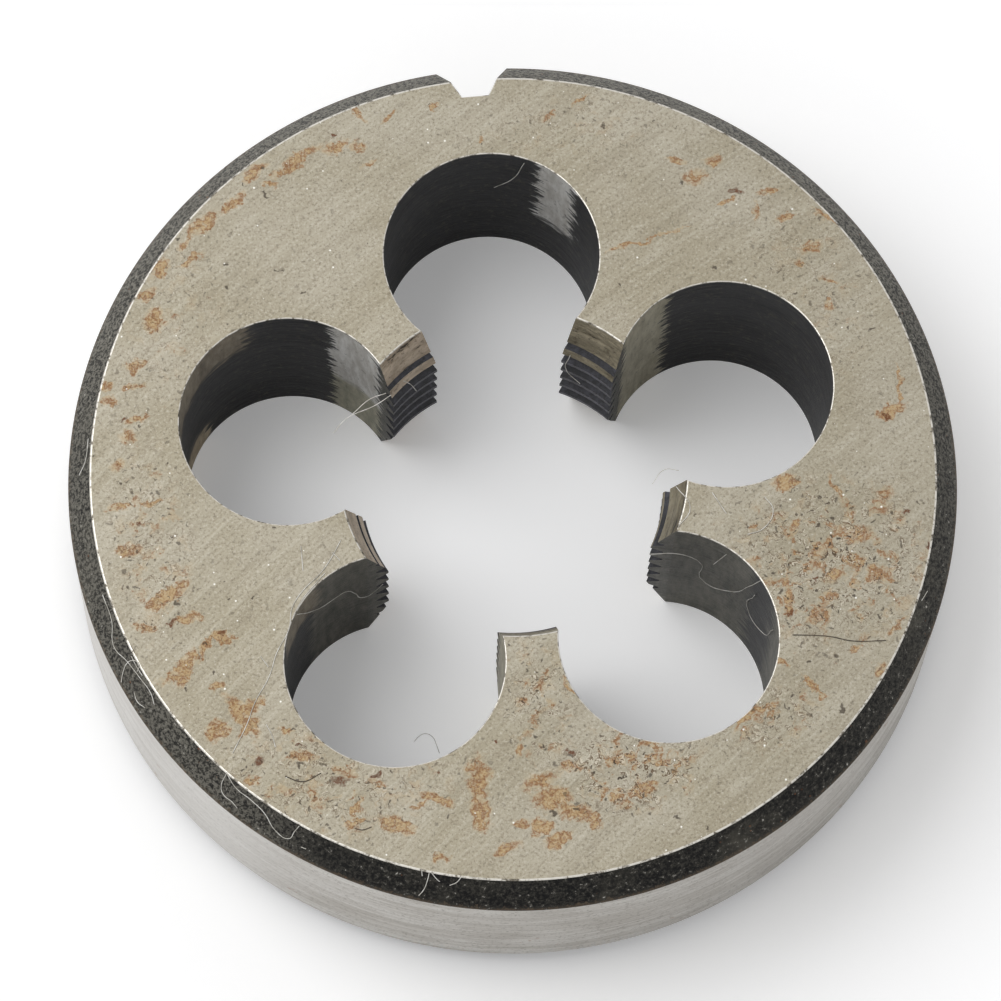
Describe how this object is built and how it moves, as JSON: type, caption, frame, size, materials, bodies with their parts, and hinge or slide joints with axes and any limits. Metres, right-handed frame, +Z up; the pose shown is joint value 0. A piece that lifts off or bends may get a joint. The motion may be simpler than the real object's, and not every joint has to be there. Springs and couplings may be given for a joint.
{
  "type": "round threading die",
  "caption": "Round solid die with a threaded bore, chip holes between its lands and a locating notch in the rim, which cuts an outside thread on a rod.",
  "frame": {"origin": "centre of the bottom face, on the axis of the thread", "axes": "+Z up the die's axis, +Y through the middle of the locating notch, +X to the right of it"},
  "size_m": [0.038, 0.0379, 0.01],
  "materials": {
    "tool_steel": "ground faces with fine scratches and rust spots, black oxide on the chamfers and inside the holes"
  },
  "bodies": {
    "root": {"die_body": "tool_steel"}
  },
  "joints": []
}
